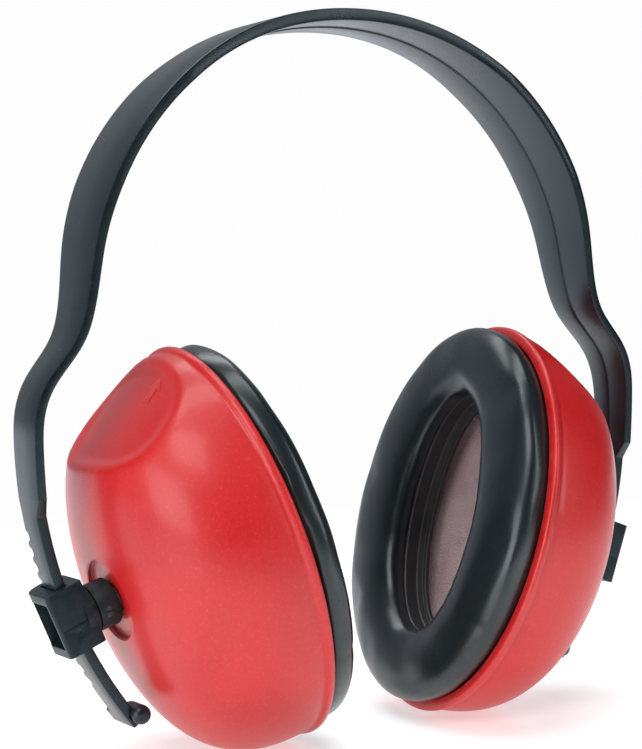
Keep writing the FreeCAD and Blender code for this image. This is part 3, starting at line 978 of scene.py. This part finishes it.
dustGrey = (0.4, 0.4, 0.4)
plain = {
    "flow": 0.1, "wear": 0.5, "roughness": 0.4, "flowRoughness": 0.06, "smearShine": 0.04,
    "ior": 1.5, "grainStrength": 0.4, "grainDepth": 0.03, "speckle": 0.12, "shine": (1, 1, 1),
}
# each plastic's darker tone for concave places is painted shade
plastics = {
    "band": {"dark": (0.005, 0.009, 0.011), "light": (0.009, 0.014, 0.017),
             "worn": (0.04, 0.048, 0.054), "shadeTone": (0.004, 0.005, 0.006), "grain": 3.2,
             "flow": 0.04, "roughness": 0.27, "smearShine": 0.07, "grainStrength": 0.35,
             "shine": (0.68, 0.86, 0.96)},
    "slider": {"dark": (0.004, 0.008, 0.011), "light": (0.007, 0.013, 0.017),
               "worn": (0.035, 0.045, 0.05), "shadeTone": (0.003, 0.005, 0.006), "grain": 4.2,
               "flow": 0.08, "flowRoughness": 0.08, "smearShine": 0.06, "ior": 1.45,
               "grainStrength": 0.5, "grainDepth": 0.035, "shine": (0.45, 0.62, 0.7)},
    "pivot": {"dark": (0.009, 0.011, 0.012), "light": (0.015, 0.017, 0.018),
              "worn": (0.05, 0.05, 0.05), "shadeTone": (0.005, 0.006, 0.006), "grain": 5.0,
              "flow": 0.15, "wear": 0.45, "roughness": 0.52, "flowRoughness": 0.08, "ior": 1.42,
              "grainStrength": 0.6, "grainDepth": 0.04, "shine": (0.45, 0.6, 0.65)},
    "pin": {"dark": (0.008, 0.012, 0.014), "light": (0.014, 0.019, 0.022),
            "worn": (0.04, 0.05, 0.055), "shadeTone": (0.004, 0.005, 0.006), "grain": 5.0,
            "flow": 0.2},
    "stud": {"dark": (0.32, 0.32, 0.33), "light": (0.4, 0.4, 0.41), "worn": (0.5, 0.5, 0.5),
             "shadeTone": (0.16, 0.16, 0.16), "grain": 4.0, "flow": 0.12, "wear": 0.3,
             "roughness": 0.38, "smearShine": 0.05, "grainStrength": 0.3},
    "plate": {"dark": (0.01, 0.01, 0.011), "light": (0.017, 0.017, 0.019),
              "worn": (0.05, 0.05, 0.055), "shadeTone": (0.005, 0.005, 0.005), "grain": 4.5,
              "wear": 0.3, "roughness": 0.42, "flowRoughness": 0.08, "smearShine": 0.05,
              "grainStrength": 0.45, "grainDepth": 0.035},
    "seal": {"dark": (0.018, 0.018, 0.018), "light": (0.03, 0.03, 0.03),
             "worn": (0.06, 0.06, 0.06), "shadeTone": (0.01, 0.01, 0.01), "grain": 2.4, "wear": 0.3,
             "roughness": 0.72, "flowRoughness": 0.1, "ior": 1.45, "grainStrength": 0.6,
             "grainDepth": 0.05},
    "cup": {"dark": (0.5, 0.005, 0.008), "light": (0.58, 0.01, 0.012),
            "worn": (0.76, 0.12, 0.09), "shadeTone": (0.3, 0.004, 0.006), "grain": 3.0,
            "flow": 0.03, "wear": 0.3, "roughness": 0.37, "smearShine": 0.06, "ior": 1.52,
            "grainStrength": 0.9, "grainDepth": 0.06, "speckle": 0.3},
}


def cupMaterial():
    # the red plastic also glows a little through and carries fine sparks in its skin
    material, tree, shader = mouldedPlastic("redPlastic", plastics["cup"])
    sparks = ranged(tree, cellsOf(tree, inMillimetres(tree), 2.6), 0.16, 0.04)
    feedAll(tree, shader, Subsurface_Weight=0.12, Subsurface_Radius=(1.0, 0.12, 0.06),
            Subsurface_Scale=1.6 * mm, Coat_Roughness=0.16,
            Coat_Weight=calc(tree, "MULTIPLY_ADD", sparks, 0.25, 0.2))
    return material


soft = {
    "vinyl": {"foldSize": 0.11, "grainSize": 2.4, "wear": 0.25, "relaxed": (0.006, 0.01, 0.012),
              "stretched": (0.011, 0.016, 0.018), "dust": (0.35, 0.35, 0.35), "roughness": 0.34,
              "stretchShine": -0.07, "smearShine": 0.08, "shine": (0.86, 0.96, 1, 1), "coat": 0.2},
    # the foam's darker pore tone is painted shade
    "foam": {"cellSize": 1.5, "wear": 0.4, "patchScale": 0.08, "dark": (0.58, 0.38, 0.41),
             "light": (0.7, 0.49, 0.51), "poreShade": (0.3, 0.21, 0.215), "poreShadeShare": 0.55,
             "dust": (0.7, 0.66, 0.64), "roughness": 0.9, "sheen": 0.3, "sheenRoughness": 0.5},
}


def vinylMaterial(look):
    material, tree, shader = startMaterial("blackVinyl")
    skin = useGroup(tree, "creases", Fold_Size=look["foldSize"], Grain_Size=look["grainSize"])
    wearAndShadeMasks = useGroup(tree, "wearAndShade", Amount=look["wear"])
    colour = mixColours(tree, skin["Stretched"], look["relaxed"], look["stretched"])
    rough = calc(tree, "MULTIPLY_ADD", skin["Stretched"], look["stretchShine"], look["roughness"])
    rough = calc(tree, "SUBTRACT", rough, times(tree, wearAndShadeMasks["Smears"], look["smearShine"]))
    folded = bumped(tree, skin["Folds"], 0.05, 0.2)
    feedAll(tree, shader, Base_Color=mixColours(tree, wearAndShadeMasks["Dust"], colour, look["dust"]),
            Roughness=rough, Specular_Tint=look["shine"],
            Coat_Weight=look["coat"], Coat_Roughness=0.2,
            Normal=bumped(tree, skin["Grain"], 0.22, 0.06, Normal=folded))
    return material


def foamMaterial(look):
    material, tree, shader = startMaterial("openFoam")
    cells = useGroup(tree, "cells", Cell_Size=look["cellSize"])
    wearAndShadeMasks = useGroup(tree, "wearAndShade", Amount=look["wear"])
    patches = ranged(tree, noiseOf(tree, inMillimetres(tree), look["patchScale"], 3.0), 0.3, 0.7)
    # painted shade: the pores are coloured darker, where shade falls in them
    poreShading = times(tree, cells["Pore Shade"], look["poreShadeShare"])
    colour = mixColours(tree, patches, look["dark"], look["light"])
    colour = mixColours(tree, poreShading, colour, look["poreShade"])
    feedAll(tree, shader, Base_Color=mixColours(tree, wearAndShadeMasks["Dust"], colour, look["dust"]),
            Roughness=look["roughness"], Sheen_Weight=look["sheen"],
            Sheen_Roughness=look["sheenRoughness"], Normal=bumped(tree, cells["Height"], 0.9, 0.5))
    return material


def paint(obj, material):
    obj.data.materials.clear()
    obj.data.materials.append(material)
    obj.data.polygons.foreach_set("material_index", [0] * len(obj.data.polygons))


# The object

made = {name: mouldedPlastic(name + "Plastic", plastics[name])[0]
        for name in ("band", "slider", "pivot", "pin", "stud", "plate", "seal")}
red, vinyl, foam = cupMaterial(), vinylMaterial(soft["vinyl"]), foamMaterial(soft["foam"])
print("stage: materials made")

paint(headband(), made["band"])
print("stage: headband made")
for side in sides:
    paint(sliderBlock(side), made["slider"])
    paint(pivotCollar(side), made["pivot"])
    paint(lockPin(side), made["pin"])
    paint(frame["nodes"]["ball_stud_" + side], made["stud"])
    paint(frame["nodes"]["ball_retainer_" + side], made["stud"])
    paint(frame["nodes"]["pivot_seal_" + side], made["seal"])
    paint(cupShell(side), red)
    paint(foamLiner(side), foam)
    paint(cushionPlate(side), made["plate"])
    print("stage: " + side + " side made")
for ring in cushions():
    paint(ring, vinyl)
print("stage: cushions made")


# Floor, light and camera

studio = {
    "floorRadius": 2.6, "floorColour": 0.84, "floorRoughness": 0.22, "floorGlow": 0.46,
    "white": 0.985, "farGlow": 1.5, "frontGlow": 0.12, "coolTint": (0.88, 0.92, 1.0),
    "floorEdge": (240.0, 560.0), "floorBack": (-250.0, 400.0), "floorRings": 12, "floorSpokes": 96,
    "darkRoom": 0.02, "paleRoom": 0.45, "roomFrom": -0.05, "roomTo": 0.85,
    "lights": {
        "left": {"place": (-1.35, -0.6, 0.32), "size": (1.0, 0.7), "power": 10},
        "frontHigh": {"place": (-0.75, -0.95, 1.3), "size": (0.9, 0.7), "power": 11},
        "right": {"place": (0.75, -1.0, 0.5), "size": (0.12, 0.9), "power": 3},
        "top": {"place": (0.0, 0.2, 1.2), "size": (1.2, 1.0), "power": 17},
    },
}


def whiteToCamera(tree, strength, light):
    # plain white where the camera sees it, and a cool tint of the given strength everywhere else
    seen = addNode(tree, "LightPath").outputs["Is Camera Ray"]
    lift = times(tree, calc(tree, "SUBTRACT", studio["white"], strength), seen)
    feedAll(tree, light, Color=mixColours(tree, seen, studio["coolTint"], (1, 1, 1)),
            Strength=calc(tree, "ADD", strength, lift))


def floorMaterial():
    # pale near the object, white further out to the camera, bright only behind in reflections
    material, tree, shader = startMaterial("paleFloor")
    place = inMillimetres(tree)
    cloudy = ranged(tree, noiseOf(tree, place, 0.004, 2.0), 0.3, 0.7)
    tone = studio["floorColour"]
    colour = mixColours(tree, cloudy, (tone, tone, tone), (tone - 0.01, tone - 0.01, tone - 0.005))
    feedAll(tree, shader, Base_Color=colour, Roughness=studio["floorRoughness"],
            Emission_Color=(1, 1, 1, 1), Emission_Strength=studio["floorGlow"])
    parts = addNode(tree, "SeparateXYZ")
    tree.links.new(place, parts.inputs[0])
    behind = ranged(tree, parts.outputs["Y"], *studio["floorBack"],
                    studio["frontGlow"], studio["farGlow"])
    glow = addNode(tree, "Emission")
    whiteToCamera(tree, behind, glow)
    away = addNode(tree, "VectorMath", operation="LENGTH")
    tree.links.new(place, away.inputs[0])
    mix = addNode(tree, "MixShader")
    tree.links.new(ranged(tree, away.outputs["Value"], *studio["floorEdge"]), mix.inputs[0])
    tree.links.new(shader.outputs[0], mix.inputs[1])
    tree.links.new(glow.outputs[0], mix.inputs[2])
    tree.links.new(mix.outputs[0], tree.nodes["Material Output"].inputs["Surface"])
    return material


def makeFloor():
    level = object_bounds()[0].z - 0.1 * mm
    rings, spokes = studio["floorRings"], studio["floorSpokes"]
    radii = [studio["floorRadius"] * (ring / rings) ** 1.5 for ring in range(1, rings + 1)]
    points = [(0, 0, level)]
    points += [(radius * cosine, radius * sine, level)
               for radius in radii for cosine, sine in circle(spokes)]
    faces = [(0, 1 + step, 1 + (step + 1) % spokes) for step in range(spokes)]
    faces += [tuple(index + 1 for index in face) for face in ringFaces(rings, spokes)]
    floor = makeMesh("floor", points, faces)
    paint(floor, floorMaterial())


def makeWorld():
    world = bpy.data.worlds.new("studio")
    bpy.context.scene.world = world
    world.use_nodes = True
    tree = world.node_tree
    # the room is pale behind the object and dark in front of it, and plain white to the camera
    way = addNode(tree, "SeparateXYZ")
    tree.links.new(addNode(tree, "TexCoord").outputs["Generated"], way.inputs[0])
    room = ranged(tree, way.outputs["Y"], studio["roomFrom"], studio["roomTo"],
                  studio["darkRoom"], studio["paleRoom"])
    whiteToCamera(tree, room, tree.nodes["Background"])


def makeLights():
    target = Vector((0, 0, archCentre.z * 0.75))
    for name, look in studio["lights"].items():
        data = bpy.data.lights.new(name, "AREA")
        data.shape = "RECTANGLE"
        data.size, data.size_y = look["size"]
        data.energy = look["power"]
        lamp = addObject(name + "Light", data)
        lamp.location = look["place"]
        lamp.rotation_euler = (target - Vector(look["place"])).to_track_quat("-Z", "Y").to_euler()


viewpoint = {
    "fromArch": (-287.94, -481.19, 7.50), "azimuth": 30.247, "elevation": 2.982, "roll": -2.282,
    "lens": 97.1,
}


def makeCamera():
    turn, rise, roll = (radians(viewpoint[name]) for name in ("azimuth", "elevation", "roll"))
    back = Vector((-sin(turn) * cos(rise), -cos(turn) * cos(rise), sin(rise)))
    level = (-back).cross(Vector((0, 0, 1))).normalized()
    above = level.cross(-back)
    rightward = level * cos(roll) + above * sin(roll)
    upward = above * cos(roll) - level * sin(roll)
    data = bpy.data.cameras.new("camera")
    data.lens = viewpoint["lens"]
    data.sensor_width = 36
    data.clip_start = 0.01
    camera = addObject("camera", data)
    axes = Matrix((rightward, upward, back)).transposed().to_4x4()
    camera.matrix_world = Matrix.Translation(archCentre + Vector(viewpoint["fromArch"]) * mm) @ axes
    bpy.context.scene.camera = camera


makeFloor()
makeWorld()
makeLights()
makeCamera()
bpy.context.scene.view_settings.view_transform = "Standard"
print("stage: studio made")
